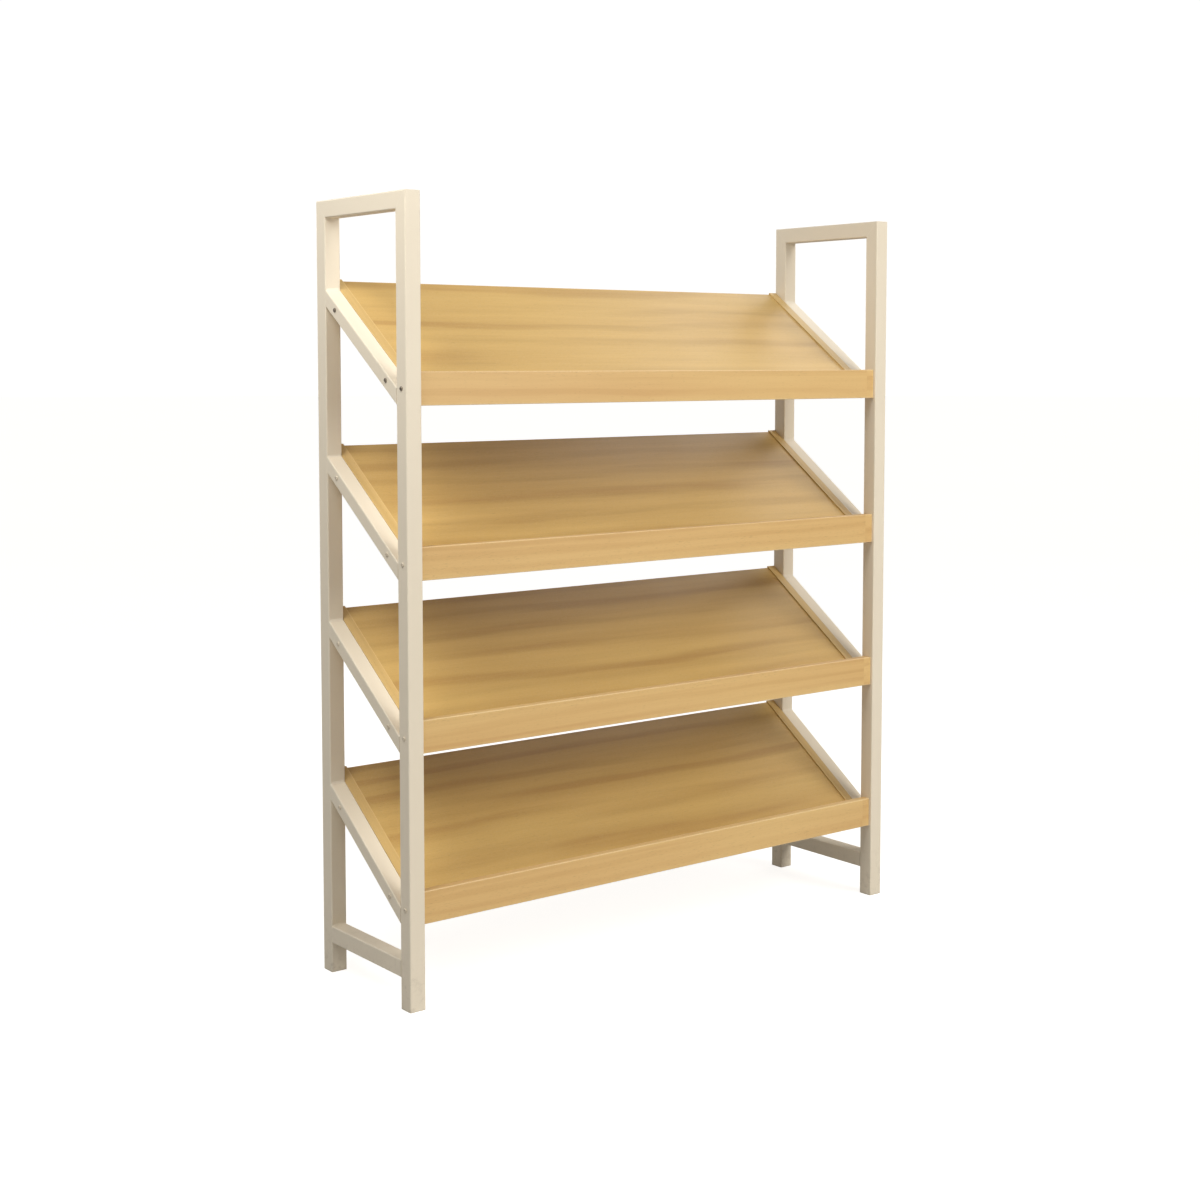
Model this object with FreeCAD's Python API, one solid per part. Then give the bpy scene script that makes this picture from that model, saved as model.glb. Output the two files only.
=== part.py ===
"""Free-standing rack for newspapers and magazines.

Two welded side frames of square steel tube carry four sloped wooden shelves.
Each shelf is a board between two end strips, with an upright lip in front
that holds the papers on the slope. Screws through the frames hold the shelves.

Millimetres. The origin is on the floor at the middle of the rack, +X is to
the right, the front faces -Y and +Z is up.
"""
import FreeCAD, Part
import math
import os

Vec = FreeCAD.Vector

# ---- overall size --------------------------------------------------------
width = 1200.0            # outside to outside of the side frames
depth = 310.0             # front of the front posts to the back of the rear posts
height = 1450.0           # floor to the top of the top rails

# ---- steel tube ----------------------------------------------------------
tube = 32.0               # side of the square tube
wall = 1.5                # tube wall
corner = 2.5              # outside corner radius of the tube
rail_thick = 25.0         # sloped rail, measured square to its slope
stretcher_low = 57.0      # floor to the underside of the stretcher

# ---- shelves -------------------------------------------------------------
shelf_count = 4           # shelf 1 is the top one
shelf_pitch = 308.0       # from one shelf to the next, upwards
slope_rise = 18.0         # the shelves rise 18 ...
slope_run = 25.0          # ... for every 25 they go back
rail_front_top = 185.0    # top of the lowest rail where it meets its front post
board_thick = 18.0
board_drop = 3.0          # board surface below the top of the rails
strip_wide = 20.0         # end strip, along X
lip_thick = 18.0
lip_tall = 60.0
lip_setback = 6.0         # lip face behind the front of the posts
lowest_lip_top = 213.0
wood_round = 1.5          # small round on the long edges of the wood

# ---- fixings -------------------------------------------------------------
screw_shank = 4.2
screw_long = 60.0         # under the head
screw_point = 5.0         # length of the point
screw_head = 8.0
screw_head_tall = 2.4
screw_head_round = 1.44   # round on the rim of the head
screw_tip = 0.6           # blunt end of the point
recess_wide = 1.2         # cross recess in the head
recess_long = 4.6
recess_deep = 1.6
pilot_hole = 4.4          # in the wood
tube_hole = 5.0           # in the tube walls
screw_in_rail = 35.0      # from a post's face to the nearer rail screw
dowel = 6.0
dowel_gap = 0.1           # all round, and at each end
lip_dowel_count = 7
lip_dowel_in_lip = 12.0
lip_dowel_in_board = 12.0
lip_dowel_below = 11.0    # dowel's middle below the rail top line, at the lip
strip_dowel_in_strip = 12.0
strip_dowel_in_board = 20.0
strip_dowel_depths = (48.0, 150.0, 265.0)   # from the front of the posts
lip_dowel_margin = 70.0   # first lip dowel from the end of the board

# ---- foot plugs ----------------------------------------------------------
plug_flange = 2.0         # what shows under the leg
plug_tall = 20.0          # inside the leg
plug_gap = 0.2            # between the plug and the tube
plug_wall = 2.0
rib_wide = 1.2            # cross rib inside the plug

# ---- cutting -------------------------------------------------------------
run_past = 1.0            # a cutter runs this far beyond the face it starts from
same_edge = 0.1           # an edge this near a spot is the one meant
tiny = 1e-6

# ---- worked out ----------------------------------------------------------
grade = slope_rise / slope_run
slope = math.atan(grade)
upright = 1.0 / math.cos(slope)       # a thickness square to the slope, measured upright
half = width / 2.0
inner = half - tube                   # inside face of a side frame
front = -depth / 2.0                  # front of the front posts
back = depth / 2.0
lip_front = front + lip_setback
lip_back = lip_front + lip_thick
sides = {"left": -1.0, "right": 1.0}


def box(low, high):
    """A block between two opposite corners."""
    size = [b - a for a, b in zip(low, high)]
    return Part.makeBox(size[0], size[1], size[2], Vec(*low))


def rail_top(number, y):
    """Height of a shelf's rail tops at a place from front to back."""
    lift = (shelf_count - number) * shelf_pitch
    return rail_front_top + lift + grade * (y - front - tube)


def lip_top(number):
    return lowest_lip_top + (shelf_count - number) * shelf_pitch


def rounded_bar(wide, thick, long, radius):
    """A bar along +Z, centred on the Z axis, with rounded long edges."""
    block = box((-wide / 2, -thick / 2, 0), (wide / 2, thick / 2, long))
    upright_edges = [e for e in block.Edges if abs(e.tangentAt(e.FirstParameter).z) > 0.99]
    return block.makeFillet(radius, upright_edges)


def square_tube(wide, thick, long):
    """A hollow tube along +Z with round corners."""
    outside = rounded_bar(wide, thick, long, corner)
    inside = rounded_bar(wide - 2 * wall, thick - 2 * wall, long, corner - wall)
    return outside.cut(inside)


def cylinder_x(diameter, long, start):
    """A round bar along +X from its start point."""
    return Part.makeCylinder(diameter / 2, long, Vec(*start), Vec(1, 0, 0))


def cylinder_y(diameter, long, start):
    return Part.makeCylinder(diameter / 2, long, Vec(*start), Vec(0, 1, 0))


def prism(outline, low_x, high_x):
    """A solid with an outline in the YZ plane, from low_x to high_x."""
    points = [Vec(low_x, y, z) for y, z in outline]
    face = Part.Face(Part.makePolygon(points + points[:1]))
    return face.extrude(Vec(high_x - low_x, 0, 0))


# ---- where the fixings go ------------------------------------------------
def screw_places(number):
    """(y, z) of a shelf's screws on either side: lip, front rail, rear rail."""
    mid_lip = ((lip_front + lip_back) / 2, lip_top(number) - lip_tall / 2)
    strip_mid = (board_thick + board_drop) / 2 * upright
    places = [mid_lip]
    for y in (front + tube + screw_in_rail, back - tube - screw_in_rail):
        places.append((y, rail_top(number, y) - strip_mid))
    return places


def strip_dowel_places(number):
    mid_board = (board_drop + board_thick / 2) * upright
    spots = [front + d for d in strip_dowel_depths]
    return [(y, rail_top(number, y) - mid_board) for y in spots]


def lip_dowel_places(number):
    """(x, z) of the dowels between a lip and its board."""
    reach = inner - strip_wide - lip_dowel_margin
    step = 2 * reach / (lip_dowel_count - 1)
    z = rail_top(number, lip_back) - lip_dowel_below
    return [(-reach + i * step, z) for i in range(lip_dowel_count)]


def screw_holes(side, places, diameter, low, high):
    """Round holes along X from low to high inward of the frame's outside face."""
    holes = []
    ends = [side * (half - depth_in) for depth_in in (low, high)]
    for y, z in places:
        holes.append(cylinder_x(diameter, high - low, (min(ends), y, z)))
    return holes


def drill(solid, holes):
    for hole in holes:
        solid = solid.cut(hole)
    return solid


# ---- side frames ---------------------------------------------------------
def post(side, at_front):
    """A leg, cut at 45 degrees at the top to meet the top rail."""
    y = front + tube / 2 if at_front else back - tube / 2
    bar = square_tube(tube, tube, height - plug_flange)
    bar.translate(Vec(side * (half - tube / 2), y, plug_flange))
    outer = front if at_front else back
    inward = 1.0 if at_front else -1.0
    mitre = prism([(outer, height), (outer + inward * tube, height - tube),
                   (outer + inward * tube, height + run_past),
                   (outer, height + run_past)], -half, half)
    bar = bar.cut(mitre)
    if at_front:
        for number in range(1, shelf_count + 1):
            places = screw_places(number)[:1]
            bar = drill(bar, screw_holes(side, places, tube_hole, -run_past, tube + run_past))
    return bar


def top_rail(side):
    """The level tube over a side frame, mitred at both ends."""
    bar = square_tube(tube, tube, depth)
    bar.rotate(Vec(0, 0, 0), Vec(1, 0, 0), -90)
    bar.translate(Vec(side * (half - tube / 2), front, height - tube / 2))
    keep = prism([(front, height), (back, height), (back - tube, height - tube),
                  (front + tube, height - tube)], -half, half)
    return bar.common(keep)


def stretcher(side):
    """The level tube between the two legs, near the floor."""
    bar = square_tube(tube, tube, depth - 2 * tube)
    bar.rotate(Vec(0, 0, 0), Vec(1, 0, 0), -90)
    bar.translate(Vec(side * (half - tube / 2), front + tube, stretcher_low + tube / 2))
    return bar


def slope_rail(side, number):
    """A sloped tube between the legs that carries one end of a shelf."""
    spare = 2 * tube
    long = (depth - 2 * tube) * upright + 2 * spare
    bar = square_tube(tube, rail_thick, long)
    bar.translate(Vec(0, 0, -long / 2))
    bar.rotate(Vec(0, 0, 0), Vec(1, 0, 0), -90 + math.degrees(slope))
    middle = rail_top(number, 0) - rail_thick / 2 * upright
    bar.translate(Vec(side * (half - tube / 2), 0, middle))
    between = box((-half, front + tube, 0), (half, back - tube, height))
    bar = bar.common(between)
    places = screw_places(number)[1:]
    return drill(bar, screw_holes(side, places, tube_hole, -run_past, tube + run_past))


def foot_plug(side, at_front):
    """A moulded plug: a flange under the leg and a hollow, ribbed body in it."""
    y = front + tube / 2 if at_front else back - tube / 2
    flange = rounded_bar(tube, tube, plug_flange, corner)
    body_side = tube - 2 * wall - 2 * plug_gap
    body = rounded_bar(body_side, body_side, plug_flange + plug_tall, corner - wall)
    room = body_side - 2 * plug_wall
    hollow = box((-room / 2, -room / 2, 2 * plug_flange), (room / 2, room / 2, height))
    body = body.cut(hollow)
    top = plug_flange + plug_tall
    rib_a = box((-room / 2, -rib_wide / 2, plug_flange), (room / 2, rib_wide / 2, top))
    rib_b = box((-rib_wide / 2, -room / 2, plug_flange), (rib_wide / 2, room / 2, top))
    plug = flange.fuse([body, rib_a, rib_b]).removeSplitter()
    plug.translate(Vec(side * (half - tube / 2), y, 0))
    return plug


# ---- shelves -------------------------------------------------------------
def sloped_outline(number, below):
    """Outline of a sloped piece from the lip to the back, upright at both ends."""
    depths = ((lip_back, below), (back, below),
              (back, board_drop + board_thick), (lip_back, board_drop + board_thick))
    return [(y, rail_top(number, y) - down * upright) for y, down in depths]


def round_long_edges(solid, radius, spots):
    """Round the edges along X whose (y, z) is near one of the spots."""
    chosen = []
    for edge in solid.Edges:
        if abs(abs(edge.tangentAt(edge.FirstParameter).x) - 1) > tiny:
            continue
        point = edge.valueAt(edge.FirstParameter)
        if any(math.hypot(point.y - y, point.z - z) < same_edge for y, z in spots):
            chosen.append(edge)
    return solid.makeFillet(radius, chosen)


def shelf_board(number):
    outline = sloped_outline(number, board_drop)
    reach = inner - strip_wide
    board = prism(outline, -reach, reach)
    board = round_long_edges(board, wood_round, outline[1:3])
    holes = []
    for y, z in strip_dowel_places(number):
        deep = strip_dowel_in_board + dowel_gap
        holes.append(cylinder_x(dowel + 2 * dowel_gap, deep, (-reach, y, z)))
        holes.append(cylinder_x(dowel + 2 * dowel_gap, deep, (reach - deep, y, z)))
    for x, z in lip_dowel_places(number):
        deep = lip_dowel_in_board + dowel_gap
        holes.append(cylinder_y(dowel + 2 * dowel_gap, deep, (x, lip_back, z)))
    for side in sides.values():
        places = screw_places(number)[1:]
        holes += screw_holes(side, places, pilot_hole, tube + strip_wide,
                             screw_long + run_past)
    return drill(board, holes)


def end_strip(side, number):
    """The strip between a shelf board and a rail, level with the rail's top."""
    outline = sloped_outline(number, 0.0)
    low, high = sorted((side * inner, side * (inner - strip_wide)))
    strip = prism(outline, low, high)
    strip = round_long_edges(strip, wood_round, outline[1:3])
    holes = screw_holes(side, screw_places(number)[1:], pilot_hole, tube - run_past,
                        tube + strip_wide + run_past)
    deep = strip_dowel_in_strip + dowel_gap
    edge = side * (inner - strip_wide)
    for y, z in strip_dowel_places(number):
        start = edge - deep if side < 0 else edge
        holes.append(cylinder_x(dowel + 2 * dowel_gap, deep, (start, y, z)))
    return drill(strip, holes)


def front_lip(number):
    """The upright board across the front of a shelf."""
    top = lip_top(number)
    lip = box((-inner, lip_front, top - lip_tall), (inner, lip_back, top))
    spots = [(y, z) for y in (lip_front, lip_back) for z in (top, top - lip_tall)]
    lip = round_long_edges(lip, wood_round, spots[:3])
    holes = []
    for side in sides.values():
        holes += screw_holes(side, screw_places(number)[:1], pilot_hole, tube - run_past,
                             screw_long + run_past)
    deep = lip_dowel_in_lip + dowel_gap
    for x, z in lip_dowel_places(number):
        holes.append(cylinder_y(dowel + 2 * dowel_gap, deep, (x, lip_back - deep, z)))
    return drill(lip, holes)


# ---- fixings -------------------------------------------------------------
def screw():
    """A pan-head wood screw along +X, the underside of its head at the origin."""
    shank = cylinder_x(screw_shank, screw_long - screw_point, (0, 0, 0))
    point = Part.makeCone(screw_shank / 2, screw_tip / 2, screw_point,
                          Vec(screw_long - screw_point, 0, 0), Vec(1, 0, 0))
    head = cylinder_x(screw_head, screw_head_tall, (-screw_head_tall, 0, 0))
    rim = [e for e in head.Edges if abs(e.CenterOfMass.x + screw_head_tall) < tiny]
    head = head.makeFillet(screw_head_round, rim)
    body = head.fuse([shank, point]).removeSplitter()
    for wide, tall in ((recess_wide, recess_long), (recess_long, recess_wide)):
        slot = box((-screw_head_tall - run_past, -wide / 2, -tall / 2),
                   (-screw_head_tall + recess_deep, wide / 2, tall / 2))
        body = body.cut(slot)
    return body


def shelf_screws(number):
    """Six screws: one into each end of the lip, two through each rail."""
    group = []
    for side in sides.values():
        for y, z in screw_places(number):
            one = screw()
            if side > 0:
                one.rotate(Vec(0, 0, 0), Vec(0, 0, 1), 180)
            one.translate(Vec(side * half, y, z))
            group.append(one)
    return Part.makeCompound(group)


def lip_dowels(number):
    long = lip_dowel_in_lip + lip_dowel_in_board
    start = lip_back - lip_dowel_in_lip
    group = [cylinder_y(dowel, long, (x, start, z)) for x, z in lip_dowel_places(number)]
    return Part.makeCompound(group)


def strip_dowels(number):
    long = strip_dowel_in_strip + strip_dowel_in_board
    edge = inner - strip_wide
    group = []
    for y, z in strip_dowel_places(number):
        group.append(cylinder_x(dowel, long, (-edge - strip_dowel_in_strip, y, z)))
        group.append(cylinder_x(dowel, long, (edge - strip_dowel_in_board, y, z)))
    return Part.makeCompound(group)


# ---- the whole rack ------------------------------------------------------
def build():
    pieces = {}
    for name, side in sides.items():
        pieces[name + "_front_post"] = post(side, True)
        pieces[name + "_rear_post"] = post(side, False)
        pieces[name + "_top_rail"] = top_rail(side)
        pieces[name + "_stretcher"] = stretcher(side)
        pieces[name + "_front_foot_plug"] = foot_plug(side, True)
        pieces[name + "_rear_foot_plug"] = foot_plug(side, False)
        for number in range(1, shelf_count + 1):
            pieces["%s_shelf_rail_%d" % (name, number)] = slope_rail(side, number)
    for number in range(1, shelf_count + 1):
        shelf = "shelf_%d_" % number
        pieces[shelf + "board"] = shelf_board(number)
        pieces[shelf + "front_lip"] = front_lip(number)
        for name, side in sides.items():
            pieces[shelf + name + "_end_strip"] = end_strip(side, number)
        pieces[shelf + "screws"] = shelf_screws(number)
        pieces[shelf + "lip_dowels"] = lip_dowels(number)
        pieces[shelf + "strip_dowels"] = strip_dowels(number)
    return pieces


os.makedirs("parts", exist_ok=True)
for node, shape in build().items():
    assert shape.isValid(), node
    shape.exportStep("parts/%s.step" % node)
    print("%-28s solids %d  volume %.0f mm3" % (node, len(shape.Solids), shape.Volume))
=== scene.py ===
# %% [markdown]
# # A library newspaper rack: two cream steel side frames and four sloping wooden shelves
# The rack arrives as finished solids, in one object for every tube, board, screw group and dowel group.
# Blender's share of the work is how they look: satin powder coat, lacquered wood, weld beads in the corners
# of the frames, light and camera. No solid is moved or reshaped, and what is added is measured from them.

# %% Load the rack
import math

import bmesh
import bpy
from mathutils import Euler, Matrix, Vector


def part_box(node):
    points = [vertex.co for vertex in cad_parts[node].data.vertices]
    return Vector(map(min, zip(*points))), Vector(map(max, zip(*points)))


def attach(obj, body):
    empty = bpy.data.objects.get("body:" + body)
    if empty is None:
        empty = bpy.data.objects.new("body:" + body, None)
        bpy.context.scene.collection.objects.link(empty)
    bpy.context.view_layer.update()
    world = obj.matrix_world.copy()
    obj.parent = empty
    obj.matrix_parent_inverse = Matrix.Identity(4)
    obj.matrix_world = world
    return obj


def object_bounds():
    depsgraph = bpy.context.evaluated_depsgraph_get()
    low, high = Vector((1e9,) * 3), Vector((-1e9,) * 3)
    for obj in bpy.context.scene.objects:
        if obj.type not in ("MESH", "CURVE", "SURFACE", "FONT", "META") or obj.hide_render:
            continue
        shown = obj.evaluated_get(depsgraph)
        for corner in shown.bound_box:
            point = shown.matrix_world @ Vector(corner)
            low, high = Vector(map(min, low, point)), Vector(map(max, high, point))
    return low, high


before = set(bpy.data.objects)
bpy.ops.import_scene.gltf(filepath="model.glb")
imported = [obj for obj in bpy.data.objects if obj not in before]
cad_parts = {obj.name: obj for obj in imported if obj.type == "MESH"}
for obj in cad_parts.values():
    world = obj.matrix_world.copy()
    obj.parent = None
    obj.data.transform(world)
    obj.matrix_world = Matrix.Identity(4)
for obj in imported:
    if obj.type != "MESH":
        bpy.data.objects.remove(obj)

cad_low, cad_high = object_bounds()
scene = bpy.context.scene
print("objects in the rack:", len(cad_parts))
print("width, depth, height in metres:", [round(size, 4) for size in cad_high - cad_low])

# %% [markdown]
# ## Measures
# What is placed later is worked out from the solids, so it stays right if the rack is redrawn. A post's box
# gives the size of the tube and the planes where the rails end. The vertices at one end of a rail say how
# high its upper and lower faces meet the post, and from both ends comes the slope of the shelves.

# %% Measures read from the solids
post_low, post_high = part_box("left_front_post")
tube_size = post_high.x - post_low.x
front_joint = post_high.y
rear_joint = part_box("left_rear_post")[0].y
middle = (cad_low + cad_high) / 2


def end_heights(node, y, reach=0.001):
    """The lowest and the highest point that a solid has within reach of the plane at y."""
    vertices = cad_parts[node].data.vertices
    heights = [vertex.co.z for vertex in vertices if abs(vertex.co.y - y) < reach]
    return min(heights), max(heights)


rail_front_top = end_heights("left_shelf_rail_1", front_joint)[1]
rail_rear_top = end_heights("left_shelf_rail_1", rear_joint)[1]
shelf_slope = math.atan2(rail_rear_top - rail_front_top, rear_joint - front_joint)
print("tube", round(tube_size, 4), "m, shelves slope", round(math.degrees(shelf_slope), 2), "degrees")

# %% [markdown]
# ## Camera
# The rack is seen from its front left corner, from chest height and looking almost level, so that upright
# posts come out upright. Tilting the camera further down would centre the rack but make the posts lean
# together, so a small lens shift does that part of the framing instead.

# %% Camera
CAMERA_PLACE = (-2.279, -2.855, 1.153)
TURN_RIGHT = math.radians(37.94)
TILT_DOWN = math.radians(4.01)
LENS_MILLIMETRES = 54.7
LENS_SHIFT = -0.0917

camera_data = bpy.data.cameras.new("chest_height_camera")
camera_data.sensor_width = 36
camera_data.lens = LENS_MILLIMETRES
camera_data.shift_y = LENS_SHIFT
camera = bpy.data.objects.new("chest_height_camera", camera_data)
camera.location = CAMERA_PLACE
camera.rotation_euler = Euler((math.pi / 2 - TILT_DOWN, 0, -TURN_RIGHT))
scene.collection.objects.link(camera)
scene.camera = camera
print("camera to the middle of the rack:", round((camera.location - middle).length, 2), "m")

# %% [markdown]
# ## Building shader trees
# A finish is a small tree of nodes. Writing each node with its settings and its links in one call keeps a
# tree readable, so a few helpers come first. The first adds a node to a tree, the next four do sums, ramps
# and blends with it, and the last two start a node group with named sockets and place it in a finish. A
# group is an effect that several finishes share, each with its own values.

# %% Helpers for shader trees
def add(tree, kind, links=None, values=None, **settings):
    """A new node, with its properties set, constants put on its inputs and other sockets linked in."""
    node = tree.nodes.new("ShaderNode" + kind)
    for name, value in settings.items():
        setattr(node, name, value)
    for name, value in (values or {}).items():
        node.inputs[name].default_value = value
    for name, socket in (links or {}).items():
        tree.links.new(socket, node.inputs[name])
    return node


def calculate(tree, operation, first, second):
    """The result of a sum on two values, where each is a number or a socket."""
    node = add(tree, "Math", operation=operation)
    for socket, value in zip(node.inputs, (first, second)):
        if isinstance(value, (int, float)):
            socket.default_value = value
        else:
            tree.links.new(value, socket)
    return node.outputs["Value"]


def ramp(tree, value, low, high, to_low=0.0, to_high=1.0, smooth=False):
    """A value stretched so that low becomes to_low and high becomes to_high, and held at both ends."""
    ends = {"From Min": low, "From Max": high, "To Min": to_low, "To Max": to_high}
    kind = "SMOOTHSTEP" if smooth else "LINEAR"
    return add(tree, "MapRange", {"Value": value}, ends, interpolation_type=kind).outputs["Result"]


def between(tree, factor, low, high):
    """A value that goes from low to high as the factor goes from 0 to 1."""
    return ramp(tree, factor, 0.0, 1.0, low, high)


def blend_colours(tree, factor, first, second):
    """Two colours mixed by a factor. Each of the three is a constant or a socket."""
    node = add(tree, "Mix", data_type="RGBA")
    sockets = (node.inputs[0], node.inputs[6], node.inputs[7])
    for socket, value in zip(sockets, (factor, first, second)):
        if isinstance(value, bpy.types.NodeSocket):
            tree.links.new(value, socket)
        else:
            socket.default_value = value
    return node.outputs[2]


def start_group(name, inputs, outputs):
    """An empty node group. inputs and outputs are (name, kind) or (name, kind, usual value)."""
    group = bpy.data.node_groups.new(name, "ShaderNodeTree")
    for direction, sockets in (("INPUT", inputs), ("OUTPUT", outputs)):
        for label, kind, *usual in sockets:
            kind_of_socket = "NodeSocket" + kind
            socket = group.interface.new_socket(label, in_out=direction, socket_type=kind_of_socket)
            if usual:
                socket.default_value = usual[0]
    return group, group.nodes.new("NodeGroupInput"), group.nodes.new("NodeGroupOutput")


def place_group(tree, group, links=None, values=None):
    """A node that uses a group in a material's tree."""
    return add(tree, "Group", links, values, node_tree=group)


print("helpers ready")

# %% [markdown]
# ## Edge wear and painted edge highlight
# Hands, magazines and cleaning cloths rub the edges of furniture first. An edge is found by comparing the
# true surface direction with one that has been averaged over a small radius, which a Bevel node gives: on a
# flat face the two agree, beside an edge they don't. Noise then breaks the line up, since wear is patchy.
# Where the coat and the wood turn paler along this mask, the paler edge is partly wear and partly a painted
# highlight.

# %% Edge wear and highlight group
def edge_wear_and_highlight_group():
    """Outputs a mask that is 1 on edges and 0 on flat faces."""
    group, given, result = start_group(
        "edge wear and highlight",
        [("Place", "Vector"), ("Radius", "Float", 0.002), ("Patchiness", "Float", 0.5),
         ("Patch Scale", "Float", 30.0)],
        [("Edge", "Float")],
    )
    rounded = add(group, "Bevel", {"Radius": given.outputs["Radius"]}, samples=4)
    surface = add(group, "NewGeometry")
    agreement = add(group, "VectorMath", operation="DOT_PRODUCT")
    group.links.new(rounded.outputs["Normal"], agreement.inputs[0])
    group.links.new(surface.outputs["Normal"], agreement.inputs[1])
    edge = ramp(group, agreement.outputs["Value"], 0.995, 0.90, smooth=True)
    patches = add(group, "TexNoise", {
        "Vector": given.outputs["Place"], "Scale": given.outputs["Patch Scale"]})
    patchy = calculate(group, "MULTIPLY", patches.outputs["Fac"], given.outputs["Patchiness"])
    kept = calculate(group, "SUBTRACT", 1.0, patchy)
    mask = calculate(group, "MULTIPLY", edge, kept)
    group.links.new(mask, result.inputs["Edge"])
    return group


edges_worn_and_highlit = edge_wear_and_highlight_group()
print("group:", edges_worn_and_highlit.name)

# %% [markdown]
# ## Dust and hand marks
# A public rack is never perfectly even: a little dust settles on what faces up, and surfaces that people
# touch turn slightly smoother or duller in cloudy patches. One group gives both, as two masks.

# %% Dust and handling group
def handling_group():
    """Outputs Dust, strongest on faces that look up, and Cloud, a soft patchy variation from 0 to 1."""
    group, given, result = start_group(
        "dust and handling",
        [("Place", "Vector"), ("Patch Scale", "Float", 6.0)],
        [("Dust", "Float"), ("Cloud", "Float")],
    )
    surface = add(group, "NewGeometry")
    upward = add(group, "SeparateXYZ", {"Vector": surface.outputs["Normal"]})
    facing = ramp(group, upward.outputs["Z"], 0.3, 1.0, smooth=True)
    cloud = add(group, "TexNoise", {"Vector": given.outputs["Place"], "Scale": given.outputs["Patch Scale"]},
                {"Detail": 5.0, "Roughness": 0.6})
    specks = add(group, "TexNoise", {"Vector": given.outputs["Place"]}, {"Scale": 420.0, "Detail": 2.0})
    grains = ramp(group, specks.outputs["Fac"], 0.45, 0.7)
    settled = calculate(group, "MULTIPLY", facing, cloud.outputs["Fac"])
    dust = calculate(group, "MULTIPLY", settled, grains)
    group.links.new(dust, result.inputs["Dust"])
    group.links.new(cloud.outputs["Fac"], result.inputs["Cloud"])
    return group


handling = handling_group()
print("group:", handling.name)

# %% [markdown]
# ## Orange peel
# Powder coat is sprayed on dry and melted in an oven. It levels almost flat but keeps a fine, shallow
# ripple, called orange peel, with a finer tooth from the powder itself. Both are far too small to model, so
# they are a height for a Bump node: soft cells about 3 mm apart, and noise at about half a millimetre.

# %% Orange peel group
def orange_peel_group():
    """Outputs the ripple of a sprayed coat as a height, and its finest grain as a speckle."""
    group, given, result = start_group(
        "orange peel",
        [("Place", "Vector"), ("Ripples per Metre", "Float", 330.0), ("Tooth", "Float", 0.3)],
        [("Height", "Float"), ("Speckle", "Float")],
    )
    ripple = add(group, "TexVoronoi",
                 {"Vector": given.outputs["Place"], "Scale": given.outputs["Ripples per Metre"]},
                 {"Smoothness": 0.8}, feature="SMOOTH_F1")
    grain = add(group, "TexNoise", {"Vector": given.outputs["Place"]}, {"Scale": 1900.0, "Detail": 2.0})
    tooth = calculate(group, "MULTIPLY", grain.outputs["Fac"], given.outputs["Tooth"])
    height = calculate(group, "ADD", ripple.outputs["Distance"], tooth)
    group.links.new(height, result.inputs["Height"])
    group.links.new(grain.outputs["Fac"], result.inputs["Speckle"])
    return group


orange_peel = orange_peel_group()
print("group:", orange_peel.name)

# %% [markdown]
# ## Wood grain
# A tree grows in rings, and a board is a flat cut through them. So the grain isn't painted on: rings are
# laid in space about a line that runs along the board, somewhere below it, and whatever surface the wood
# has cuts them where it will. Faces get long streaks, ends get arcs, and they meet at the edges. The rings
# wander, because no trunk is straight, and they are drawn out along the board, since a tree changes slowly
# along its trunk. Broad noise lets each streak fade and come back. Long thin noise adds the fibres, and
# short dark dashes the pores.

# %% Wood grain group
FROM_ONE_BOARD_TO_THE_NEXT = {"X": 3.7, "Y": 0.043, "Z": 0.029}
HEART_OF_THE_TREE = (0.0, 0.03, 0.11)
PORE_BROWN = (0.16, 0.085, 0.03, 1)


def on_each_axis(tree, operation, vector, numbers):
    """A vector added to, taken from or multiplied by three fixed numbers."""
    node = add(tree, "VectorMath", {0: vector}, operation=operation)
    node.inputs[1].default_value = numbers
    return node.outputs["Vector"]


def grain_place(group, given):
    """Where a point lies in the tree, and the same place after the rings have wandered."""
    jump = add(group, "CombineXYZ")
    for axis, stride in FROM_ONE_BOARD_TO_THE_NEXT.items():
        group.links.new(calculate(group, "MULTIPLY", given.outputs["Board"], stride), jump.inputs[axis])
    moved = add(group, "VectorMath", {0: given.outputs["Place"], 1: jump.outputs["Vector"]}, operation="ADD")
    place = moved.outputs["Vector"]
    slow = on_each_axis(group, "MULTIPLY", place, (1.6, 5.0, 5.0))
    bend = add(group, "TexNoise", {"Vector": slow}, {"Scale": 1.0, "Detail": 2.0})
    centred = on_each_axis(group, "SUBTRACT", bend.outputs["Color"], (0.5, 0.5, 0.5))
    drift = add(group, "VectorMath", {0: centred, "Scale": given.outputs["Wander"]}, operation="SCALE")
    wandering = add(group, "VectorMath", {0: place, 1: drift.outputs["Vector"]}, operation="ADD")
    return place, wandering.outputs["Vector"]


def year_rings(group, given, wandering):
    """Soft dark bands where the rings are cut, drawn out along the fibres."""
    from_heart = on_each_axis(group, "ADD", wandering, HEART_OF_THE_TREE)
    drawn_out = on_each_axis(group, "MULTIPLY", from_heart, (0.07, 1.0, 1.0))
    rings = add(group, "TexWave", {"Vector": drawn_out, "Scale": given.outputs["Ring Scale"]},
                {"Distortion": 5.0, "Detail": 3.0, "Detail Scale": 1.3},
                wave_type="RINGS", rings_direction="X", wave_profile="SIN")
    return ramp(group, rings.outputs["Fac"], 0.4, 1.0, smooth=True)


def long_noise(group, place, along, across, **settings):
    """Noise that is long in the direction of the fibres. Along and across are in blotches per metre."""
    stretched = on_each_axis(group, "MULTIPLY", place, (along, across, across))
    return add(group, "TexNoise", {"Vector": stretched}, {"Scale": 1.0, **settings}).outputs["Fac"]


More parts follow.
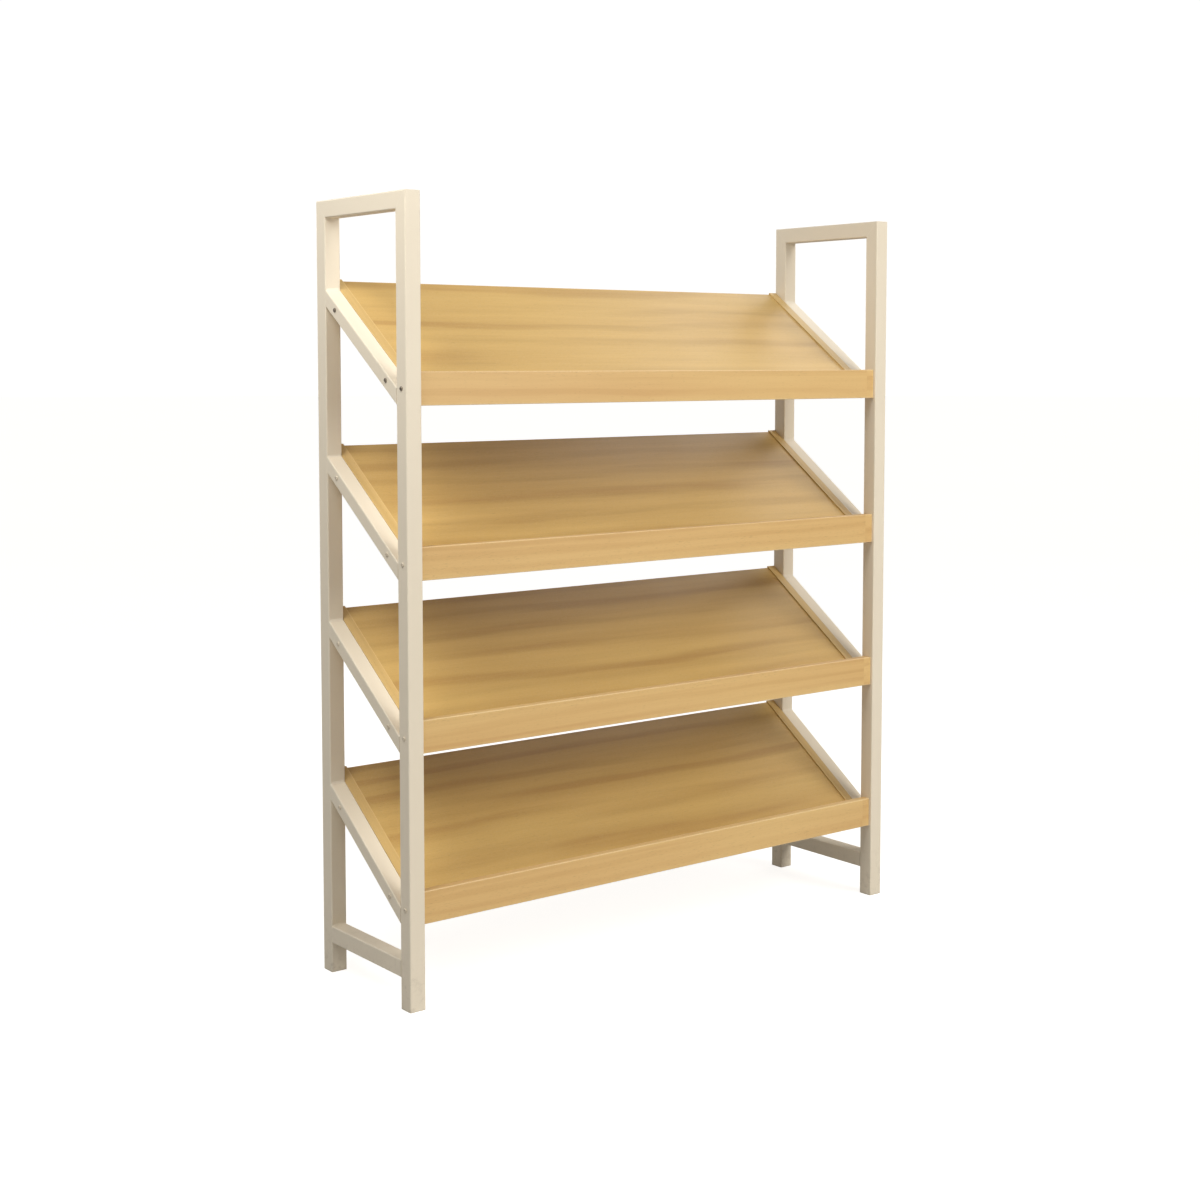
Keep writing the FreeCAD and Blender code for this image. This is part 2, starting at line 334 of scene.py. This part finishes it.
def wood_grain_group():
    """Outputs the colour and height of wood. Place is in metres, with the fibres along X."""
    group, given, result = start_group(
        "wood grain",
        [("Place", "Vector"), ("Board", "Float", 0.0), ("Pale Wood", "Color"), ("Dark Wood", "Color"),
         ("Streak", "Float", 0.5), ("Wander", "Float", 0.03), ("Ring Scale", "Float", 14.0)],
        [("Color", "Color"), ("Height", "Float")],
    )
    place, wandering = grain_place(group, given)
    latewood = year_rings(group, given, wandering)
    broad = long_noise(group, place, 1.2, 22.0, Detail=3.0)
    fibres = long_noise(group, place, 9.0, 900.0, Detail=3.0, Roughness=0.65)
    dashes = long_noise(group, place, 90.0, 1500.0, Detail=1.0)
    pores = ramp(group, dashes, 0.66, 0.76)

    faded = calculate(group, "MULTIPLY", latewood, ramp(group, broad, 0.35, 0.65, 0.3, 1.3))
    streaks = calculate(group, "MULTIPLY", faded, given.outputs["Streak"])
    lanes = ramp(group, broad, 0.3, 0.7, to_high=0.55)
    threads = ramp(group, fibres, 0.3, 0.7, to_high=0.25)
    figure = calculate(group, "ADD", calculate(group, "ADD", streaks, lanes), threads)
    tinted = blend_colours(group, figure, given.outputs["Pale Wood"], given.outputs["Dark Wood"])
    colour = blend_colours(group, calculate(group, "MULTIPLY", pores, 0.35), tinted, PORE_BROWN)
    group.links.new(colour, result.inputs["Color"])
    group.links.new(calculate(group, "SUBTRACT", fibres, pores), result.inputs["Height"])
    return group


wood_grain = wood_grain_group()
print("group:", wood_grain.name)

# %% [markdown]
# ## Finish: cream powder coat
# Warm cream, satin, over the whole of both side frames. The colour clouds very slightly, the coat is a touch
# thinner on edges and is painted paler there, partly as wear and partly as a painted highlight, and shoes and
# brooms mark the legs near the floor. The paint is an insulator, so it isn't metallic: the gloss comes from a
# plain Principled shader with a middling roughness.

# %% Cream powder coat
CREAM = (0.88, 0.80, 0.655, 1)
CLOUDED_CREAM = (0.83, 0.745, 0.60, 1)
# Paler cream for the edges: partly rubbed coat, partly a painted highlight.
RUBBED_AND_HIGHLIT_CREAM = (0.93, 0.87, 0.75, 1)
GREY_DUST = (0.80, 0.77, 0.70, 1)
SCUFF_BROWN = (0.45, 0.38, 0.29, 1)
SCUFFED_TO = 0.12


def new_finish(name):
    """An empty procedural material: its tree, its Principled shader, and the place of a point in metres."""
    material = bpy.data.materials.new(name)
    material.use_nodes = True
    tree = material.node_tree
    place = add(tree, "TexCoord").outputs["Object"]
    return material, tree, tree.nodes["Principled BSDF"], place


def set_bump(tree, principled, height, strength, distance):
    """Feeds the shader's Normal with a bump whose full height is distance, in metres."""
    bump = add(tree, "Bump", {"Height": height}, {"Strength": strength, "Distance": distance})
    tree.links.new(bump.outputs["Normal"], principled.inputs["Normal"])


def scuffs_near_floor(tree, place):
    """A mask of scratches, strongest at the floor and gone at SCUFFED_TO metres."""
    height = add(tree, "SeparateXYZ", {"Vector": place}).outputs["Z"]
    scratch = add(tree, "TexNoise", {"Vector": place}, {"Scale": 55.0, "Detail": 6.0, "Roughness": 0.7})
    marks = ramp(tree, scratch.outputs["Fac"], 0.52, 0.68)
    return calculate(tree, "MULTIPLY", ramp(tree, height, SCUFFED_TO, 0.0), marks)


def cream_powder_coat():
    """Satin cream coat with orange peel, pale edges (partly wear, partly a painted highlight) and scuffed
    feet.
    """
    material, tree, principled, place = new_finish("cream powder coat")
    peel = place_group(tree, orange_peel, {"Place": place}, {"Ripples per Metre": 330.0, "Tooth": 0.25})
    edge_finder = place_group(tree, edges_worn_and_highlit, {"Place": place}, {
        "Radius": 0.0025, "Patchiness": 0.6, "Patch Scale": 24.0})
    marks = place_group(tree, handling, {"Place": place}, {"Patch Scale": 5.0})
    cream = blend_colours(tree, marks.outputs["Cloud"], CREAM, CLOUDED_CREAM)
    # The paler edge is partly wear and partly a painted highlight along every edge.
    edge = calculate(tree, "MULTIPLY", edge_finder.outputs["Edge"], 0.55)
    worn_and_highlit = blend_colours(tree, edge, cream, RUBBED_AND_HIGHLIT_CREAM)
    dust = calculate(tree, "MULTIPLY", marks.outputs["Dust"], 0.25)
    dusty = blend_colours(tree, dust, worn_and_highlit, GREY_DUST)
    scuffed = scuffs_near_floor(tree, place)
    colour = blend_colours(tree, calculate(tree, "MULTIPLY", scuffed, 0.45), dusty, SCUFF_BROWN)
    tree.links.new(colour, principled.inputs["Base Color"])
    sheen = between(tree, marks.outputs["Cloud"], 0.36, 0.50)
    rough = calculate(tree, "ADD", sheen, calculate(tree, "MULTIPLY", scuffed, 0.2))
    tree.links.new(rough, principled.inputs["Roughness"])
    set_bump(tree, principled, peel.outputs["Height"], 0.35, 0.00012)
    return material


finishes = {"cream_powder_coat": cream_powder_coat()}
print("finish:", finishes["cream_powder_coat"].name)

# %% [markdown]
# ## Finish: lacquered wood
# Boards, lips and end strips are the same pale yellow wood under a satin lacquer, cut from different planks.
# On boards and lips the fibres run along the shelf, on the end strips they follow the slope. A Mapping node
# turns the place until the fibres lie along X. Each shelf takes another part of the tree, found from the
# height of its own sloping plane, so no two boards repeat. The edges are paler than the faces: partly rubbed
# wood, partly a painted highlight, which on the lips is almost white.

# %% Lacquered wood
shelf_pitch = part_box("shelf_1_front_lip")[1].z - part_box("shelf_2_front_lip")[1].z
board_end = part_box("shelf_1_board")[1].x
WARM_DUST = (0.72, 0.66, 0.56, 1)
JUMP_ON_THE_RIGHT = 7.0


def board_number(tree, place):
    """A whole number for each shelf, and another one for all that lies right of the board's end."""
    spot = add(tree, "SeparateXYZ", {"Vector": place})
    climb = calculate(tree, "MULTIPLY", spot.outputs["Y"], math.tan(shelf_slope))
    level = calculate(tree, "SUBTRACT", spot.outputs["Z"], climb)
    shelf = add(tree, "Math", {0: calculate(tree, "DIVIDE", level, shelf_pitch)}, operation="FLOOR")
    right = calculate(tree, "GREATER_THAN", spot.outputs["X"], board_end)
    jump = calculate(tree, "MULTIPLY", right, JUMP_ON_THE_RIGHT)
    return calculate(tree, "ADD", shelf.outputs["Value"], jump)


def lacquered_wood(name, fibre_turn, edge_tint, grain_values):
    """Wood with its grain turned by three angles, paler edges (partly wear, partly a painted highlight) and a
    clear satin lacquer.
    """
    material, tree, principled, place = new_finish(name)
    along = add(tree, "Mapping", {"Vector": place}, {"Rotation": fibre_turn}, vector_type="POINT")
    board = board_number(tree, place)
    grain = place_group(tree, wood_grain, {"Place": along.outputs["Vector"], "Board": board}, grain_values)
    edge_finder = place_group(tree, edges_worn_and_highlit, {"Place": place}, {
        "Radius": 0.0035, "Patchiness": 0.5, "Patch Scale": 9.0})
    marks = place_group(tree, handling, {"Place": place}, {"Patch Scale": 7.0})
    # Paler edges: partly rubbed lacquer, partly a painted highlight; on the lips the pale is almost white.
    edge = calculate(tree, "MULTIPLY", edge_finder.outputs["Edge"], 0.9)
    worn_and_highlit = blend_colours(tree, edge, grain.outputs["Color"], edge_tint)
    dust = calculate(tree, "MULTIPLY", marks.outputs["Dust"], 0.18)
    tree.links.new(blend_colours(tree, dust, worn_and_highlit, WARM_DUST), principled.inputs["Base Color"])
    tree.links.new(between(tree, marks.outputs["Cloud"], 0.34, 0.52), principled.inputs["Roughness"])
    principled.inputs["Coat Weight"].default_value = 0.12
    principled.inputs["Coat Roughness"].default_value = 0.28
    set_bump(tree, principled, grain.outputs["Height"], 0.25, 0.0001)
    return material


# %% The three woods
# The third argument is the edge tint: partly rubbed wood, partly a painted highlight.
finishes["board_wood"] = lacquered_wood("shelf board wood", (-shelf_slope, 0.0, 0.0), (0.76, 0.58, 0.30, 1), {
    "Pale Wood": (0.66, 0.45, 0.155, 1), "Dark Wood": (0.48, 0.29, 0.088, 1),
    "Streak": 0.33, "Wander": 0.035, "Ring Scale": 9.0})
finishes["lip_wood"] = lacquered_wood("front lip wood", (0.0, 0.0, 0.0), (1.0, 0.88, 0.60, 1), {
    "Pale Wood": (0.80, 0.555, 0.235, 1), "Dark Wood": (0.68, 0.42, 0.165, 1),
    "Streak": 0.32, "Wander": 0.02, "Ring Scale": 13.0})
down_slope = (-shelf_slope, 0.0, math.radians(90))
finishes["strip_wood"] = lacquered_wood("end strip wood", down_slope, (0.80, 0.61, 0.30, 1), {
    "Pale Wood": (0.70, 0.495, 0.205, 1), "Dark Wood": (0.56, 0.37, 0.13, 1),
    "Streak": 0.25, "Wander": 0.02, "Ring Scale": 22.0})
print("shelf pitch", round(shelf_pitch, 4), "finishes:", sorted(finishes))

# %% [markdown]
# ## Finishes of the small parts
# Foot plugs are moulded ivory plastic, matt with a fine spark-eroded texture and a little floor dirt.
# Screws are steel with a dark oxide, brighter where a screwdriver has rubbed the head. Only those of the top
# shelf look like that: the others were painted together with the frame, and only their rims are worn.
# Dowels are raw beech with fine fibres: hidden when the rack stands, seen when a shelf is taken apart.

# %% Small part finishes
def moulded_ivory():
    """Matt plastic with a fine moulded texture."""
    material, tree, principled, place = new_finish("moulded ivory plastic")
    peel = place_group(tree, orange_peel, {"Place": place}, {"Ripples per Metre": 900.0, "Tooth": 0.8})
    marks = place_group(tree, handling, {"Place": place}, {"Patch Scale": 40.0})
    colour = blend_colours(tree, marks.outputs["Cloud"], (0.80, 0.74, 0.61, 1), (0.60, 0.53, 0.42, 1))
    tree.links.new(colour, principled.inputs["Base Color"])
    tree.links.new(between(tree, peel.outputs["Speckle"], 0.55, 0.75), principled.inputs["Roughness"])
    set_bump(tree, principled, peel.outputs["Height"], 0.3, 0.0001)
    return material


def oxide_steel():
    """Dark screw steel, bright on rubbed edges."""
    material, tree, principled, place = new_finish("dark oxide steel")
    edge_finder = place_group(tree, edges_worn_and_highlit, {"Place": place}, {
        "Radius": 0.0006, "Patchiness": 0.7, "Patch Scale": 700.0})
    marks = place_group(tree, handling, {"Place": place}, {"Patch Scale": 260.0})
    edge_tint = calculate(tree, "MULTIPLY", edge_finder.outputs["Edge"], 0.5)
    oxide = blend_colours(tree, marks.outputs["Cloud"], (0.25, 0.21, 0.17, 1), (0.35, 0.30, 0.24, 1))
    tree.links.new(blend_colours(tree, edge_tint, oxide, (0.52, 0.47, 0.40, 1)), principled.inputs["Base Color"])
    tree.links.new(between(tree, edge_tint, 0.55, 1.0), principled.inputs["Metallic"])
    tree.links.new(between(tree, marks.outputs["Cloud"], 0.30, 0.55), principled.inputs["Roughness"])
    set_bump(tree, principled, marks.outputs["Cloud"], 0.2, 0.00005)
    return material


def painted_screw():
    """A cream screw head: thin paint over steel, a little darker than the frame and rubbed on its rim."""
    material, tree, principled, place = new_finish("painted screw")
    edge_finder = place_group(tree, edges_worn_and_highlit, {"Place": place}, {
        "Radius": 0.0005, "Patchiness": 0.9, "Patch Scale": 700.0})
    marks = place_group(tree, handling, {"Place": place}, {"Patch Scale": 260.0})
    cream = blend_colours(tree, marks.outputs["Cloud"], (0.83, 0.75, 0.61, 1), (0.74, 0.66, 0.53, 1))
    edge_tint = calculate(tree, "MULTIPLY", edge_finder.outputs["Edge"], 0.35)
    tree.links.new(blend_colours(tree, edge_tint, cream, (0.50, 0.44, 0.36, 1)), principled.inputs["Base Color"])
    tree.links.new(between(tree, marks.outputs["Cloud"], 0.38, 0.52), principled.inputs["Roughness"])
    set_bump(tree, principled, marks.outputs["Cloud"], 0.2, 0.00005)
    return material


def raw_beech():
    """Unlacquered beech. Its fibres lie along X: along the strip dowels, and across the lip dowels."""
    material, tree, principled, place = new_finish("raw beech")
    grain = place_group(tree, wood_grain, {"Place": place}, {
        "Pale Wood": (0.70, 0.52, 0.33, 1), "Dark Wood": (0.56, 0.37, 0.20, 1),
        "Streak": 0.3, "Wander": 0.004, "Ring Scale": 60.0})
    marks = place_group(tree, handling, {"Place": place}, {"Patch Scale": 90.0})
    tree.links.new(grain.outputs["Color"], principled.inputs["Base Color"])
    tree.links.new(between(tree, marks.outputs["Cloud"], 0.6, 0.8), principled.inputs["Roughness"])
    set_bump(tree, principled, grain.outputs["Height"], 0.4, 0.0001)
    return material


finishes["plug_ivory"] = moulded_ivory()
finishes["screw_dark"] = oxide_steel()
finishes["screw_cream"] = painted_screw()
finishes["dowel_beech"] = raw_beech()
print("finishes:", sorted(finishes))

# %% [markdown]
# ## Putting the finishes on
# Every object comes with a plain material, named after the finish that the parts list gives it. The new
# finish of that name takes its slot, and the plain one is thrown away.

# %% Put the finishes on
def dress(solid):
    """Swaps each plain material of an object for the finish of the same name, and returns the names."""
    names = [holder.material.name for holder in solid.material_slots]
    for holder, name in zip(solid.material_slots, names):
        holder.material = finishes[name]
    return names


dressed = [dress(solid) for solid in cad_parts.values()]
for plain in [material for material in bpy.data.materials if material.users == 0]:
    bpy.data.materials.remove(plain)
used_finishes = {name for names in dressed for name in names}
print("dressed:", len(dressed), "objects with", len(used_finishes), "finishes")

# %% [markdown]
# ## Weld beads
# The tubes of a side frame are welded. On the faces the weld is ground flush, but in a corner a grinder
# can't reach, so a small hollow bead stays there under the paint, with the faint ripple of a weld laid drop
# by drop. A bump map can't round a corner: the bead is a real strip of mesh that runs across the tube, with
# a hollow curve between its two feet, and thins to a quarter of its size at both ends. Two planes meet at
# each corner, so two directions describe it.

# %% Weld bead shape
BEAD_LEG = 0.0032
BEAD_SINK = 0.0004
BEAD_HOLLOW = 0.12
RIPPLE_PITCH = 0.0016
RIPPLE_DEPTH = 0.05
STATIONS_PER_RIPPLE = 4
END_SHARE = 0.06
END_SIZE = 0.25
CURVE_STEPS = 6
CORNER_RADIUS = 0.0025


def bead_section(corner, wall, rail, leg):
    """Points across a bead: a foot on the post, a hollow curve, a foot on the rail, and back inside."""
    start, end = corner + wall * leg, corner + rail * leg
    hollow = corner + (wall + rail) * leg * BEAD_HOLLOW
    points = []
    for step in range(CURVE_STEPS + 1):
        t = step / CURVE_STEPS
        points.append(start * (1 - t) ** 2 + hollow * 2 * t * (1 - t) + end * t ** 2)
    inward = (wall + rail).normalized() * -BEAD_SINK
    return points + [end + inward, start + inward]


def add_bead(mesh, x_low, x_high, corner, wall, rail):
    """Sweeps the section across the tube from x_low to x_high, rippling, and shrinking towards both ends."""
    count = round((x_high - x_low) / RIPPLE_PITCH) * STATIONS_PER_RIPPLE
    rings = []
    for station in range(count + 1):
        t = station / count
        from_end = min(t, 1 - t, END_SHARE) / END_SHARE
        taper = END_SIZE + (1 - END_SIZE) * math.sin(math.pi / 2 * from_end)
        ripple = 1 + RIPPLE_DEPTH * math.cos(2 * math.pi * station / STATIONS_PER_RIPPLE)
        leg = BEAD_LEG * taper * ripple
        across = Vector((x_low + (x_high - x_low) * t, 0, 0))
        rings.append([mesh.verts.new(across + point) for point in bead_section(corner, wall, rail, leg)])
    for before, after in zip(rings, rings[1:]):
        for k, vertex in enumerate(before):
            other = (k + 1) % len(before)
            mesh.faces.new((vertex, before[other], after[other], after[k]))
    mesh.faces.new(rings[0])
    mesh.faces.new(reversed(rings[-1]))


print("bead leg", BEAD_LEG, "m, ripple every", RIPPLE_PITCH, "m")

# %% [markdown]
# ## Where the beads are
# Each shelf rail and each stretcher meets a post at its front and its rear end, above and below, and each
# top rail is mitred to a post with a corner underneath. A rail's own direction away from the post gives one
# side of the corner, and straight up or straight down the other.

# %% Weld beads of both side frames
UP, DOWN = Vector((0, 0, 1)), Vector((0, 0, -1))
BACKWARD = Vector((0, 1, 0))
UPHILL = Vector((0, math.cos(shelf_slope), math.sin(shelf_slope)))


def rail_corners(node, run):
    """The four corners of a rail between the posts: point, direction along the post, and along the rail."""
    corners = []
    for y, away in ((front_joint, run), (rear_joint, -run)):
        low, high = end_heights(node, y)
        corners.append((Vector((0, y, high)), UP, away))
        corners.append((Vector((0, y, low)), DOWN, away))
    return corners


def mitre_corners(node):
    """The two inner corners under a top rail."""
    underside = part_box(node)[0].z
    ends = ((front_joint, BACKWARD), (rear_joint, -BACKWARD))
    return [(Vector((0, y, underside)), DOWN, away) for y, away in ends]


def weld_piece(name, side, corners):
    """One mesh that holds the beads of some joints on one side frame."""
    low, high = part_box(f"{side}_front_post")
    outline = bmesh.new()
    for corner, wall, rail in corners:
        add_bead(outline, low.x + CORNER_RADIUS, high.x - CORNER_RADIUS, corner, wall, rail)
    bmesh.ops.recalc_face_normals(outline, faces=outline.faces)
    for face in outline.faces:
        face.smooth = len(face.verts) == 4
    mesh = bpy.data.meshes.new(name)
    outline.to_mesh(mesh)
    outline.free()
    mesh.materials.append(finishes["cream_powder_coat"])
    piece = bpy.data.objects.new(name, mesh)
    scene.collection.objects.link(piece)
    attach(piece, "root")
    return piece


welds = []
for side in ("left", "right"):
    shelf_joints = []
    for number in range(1, 5):
        shelf_joints += rail_corners(f"{side}_shelf_rail_{number}", UPHILL)
    welds.append(weld_piece(f"{side}_shelf_rail_welds", side, shelf_joints))
    welds.append(weld_piece(f"{side}_stretcher_welds", side, rail_corners(f"{side}_stretcher", BACKWARD)))
    welds.append(weld_piece(f"{side}_top_rail_welds", side, mitre_corners(f"{side}_top_rail")))
print("weld pieces:", {piece.name: len(piece.data.polygons) for piece in welds})

# %% [markdown]
# ## Floor and light
# A plain pale floor, wide enough for its edge to be lost in the distance. A bright floor throws so much light
# upwards that shade under the shelves is lost, so this one reflects only half of what falls on it, and a
# glow that the camera alone can see makes it look white. From underneath it can be seen through, so that the
# rack can be looked at from below.
#
# The sun has a wide angle, which softens its shadows, and stands low enough to reach in under each lip. A
# soft box in front, at the height of the upper shelves, and a weaker one above it make posts, rails and lips
# lighter towards the top. A box on the left lights the outside of the left frame, which still stays a shade
# darker than the front. Two boxes behind, one high on the right and one lower down, keep the back and the
# undersides of the shelves readable. The Standard view transform shows the cream as the same cream.

# %% Floor finish
FLOOR_GLOW = 0.80


def floor_finish():
    """Matt off-white with a faint cloudy variation, which glows for the camera and is clear from below."""
    material, tree, principled, place = new_finish("pale floor")
    cloud = add(tree, "TexNoise", {"Vector": place}, {"Scale": 0.8})
    colour = blend_colours(tree, cloud.outputs["Fac"], (0.48, 0.475, 0.465, 1), (0.52, 0.515, 0.51, 1))
    tree.links.new(colour, principled.inputs["Base Color"])
    tree.links.new(between(tree, cloud.outputs["Fac"], 0.8, 0.9), principled.inputs["Roughness"])
    principled.inputs["Specular IOR Level"].default_value = 0.1
    principled.inputs["Emission Color"].default_value = (1.0, 0.99, 0.975, 1)
    path = add(tree, "LightPath")
    glow = between(tree, path.outputs["Is Camera Ray"], 0.0, FLOOR_GLOW)
    tree.links.new(glow, principled.inputs["Emission Strength"])
    underneath = add(tree, "NewGeometry").outputs["Backfacing"]
    surface = add(tree, "MixShader", {0: underneath, 1: principled.outputs["BSDF"]})
    tree.links.new(add(tree, "BsdfTransparent").outputs["BSDF"], surface.inputs[2])
    tree.links.new(surface.outputs["Shader"], tree.nodes["Material Output"].inputs["Surface"])
    return material


print("floor glow", FLOOR_GLOW)

# %% Floor
FLOOR_RADIUS = 60.0


def pale_floor():
    """One flat disc under the rack."""
    outline = bmesh.new()
    bmesh.ops.create_circle(outline, cap_ends=True, segments=96, radius=FLOOR_RADIUS)
    mesh = bpy.data.meshes.new("pale_floor")
    outline.to_mesh(mesh)
    outline.free()
    mesh.materials.append(floor_finish())
    floor = bpy.data.objects.new("pale_floor", mesh)
    scene.collection.objects.link(floor)
    return floor


print("floor:", pale_floor().name, "radius", FLOOR_RADIUS, "m")

# %% Light
WARM_WHITE = (1.0, 0.965, 0.91)
CEILING_WHITE = (1.0, 0.95, 0.86)
SIDE_WHITE = (1.0, 0.97, 0.92)
REAR_WHITE = (1.0, 0.98, 0.95)


def pale_room(seen, light):
    """Surroundings that look white to the camera but light the rack with less than that."""
    world = bpy.data.worlds.new("pale_room")
    world.use_nodes = True
    tree = world.node_tree
    background = tree.nodes["Background"]
    background.inputs["Color"].default_value = (1.0, 0.985, 0.965, 1)
    path = add(tree, "LightPath")
    tree.links.new(between(tree, path.outputs["Is Camera Ray"], light, seen), background.inputs["Strength"])
    return world


def lamp(name, kind, place, strength, colour, **settings):
    """A lamp at place that shines at the middle of the rack."""
    data = bpy.data.lights.new(name, kind)
    data.energy = strength
    data.color = colour
    for setting, value in settings.items():
        setattr(data, setting, value)
    lamp_object = bpy.data.objects.new(name, data)
    lamp_object.location = place
    lamp_object.rotation_euler = (middle - Vector(place)).to_track_quat("-Z", "Y").to_euler()
    scene.collection.objects.link(lamp_object)
    return lamp_object


scene.view_settings.view_transform = "Standard"
scene.world = pale_room(seen=1.05, light=0.25)
lamps = [
    lamp("low_front_sun", "SUN", (1.2, -4.0, 3.65), 1.05, WARM_WHITE, angle=math.radians(35)),
    lamp("front_box", "AREA", (0.9, -2.5, 1.7), 21, WARM_WHITE, size=1.4),
    lamp("ceiling_box", "AREA", (0.9, -1.9, 3.2), 10, CEILING_WHITE, size=1.6),
    lamp("left_box", "AREA", (-1.6, -0.4, 2.4), 25, SIDE_WHITE, size=1.0),
    lamp("rear_right_box", "AREA", (2.3, 0.8, 3.0), 10, SIDE_WHITE, size=1.2),
    lamp("low_rear_box", "AREA", (-0.4, 3.4, 1.9), 24, REAR_WHITE, size=2.0),
]
print("lamps:", [(one.name, one.data.energy) for one in lamps])
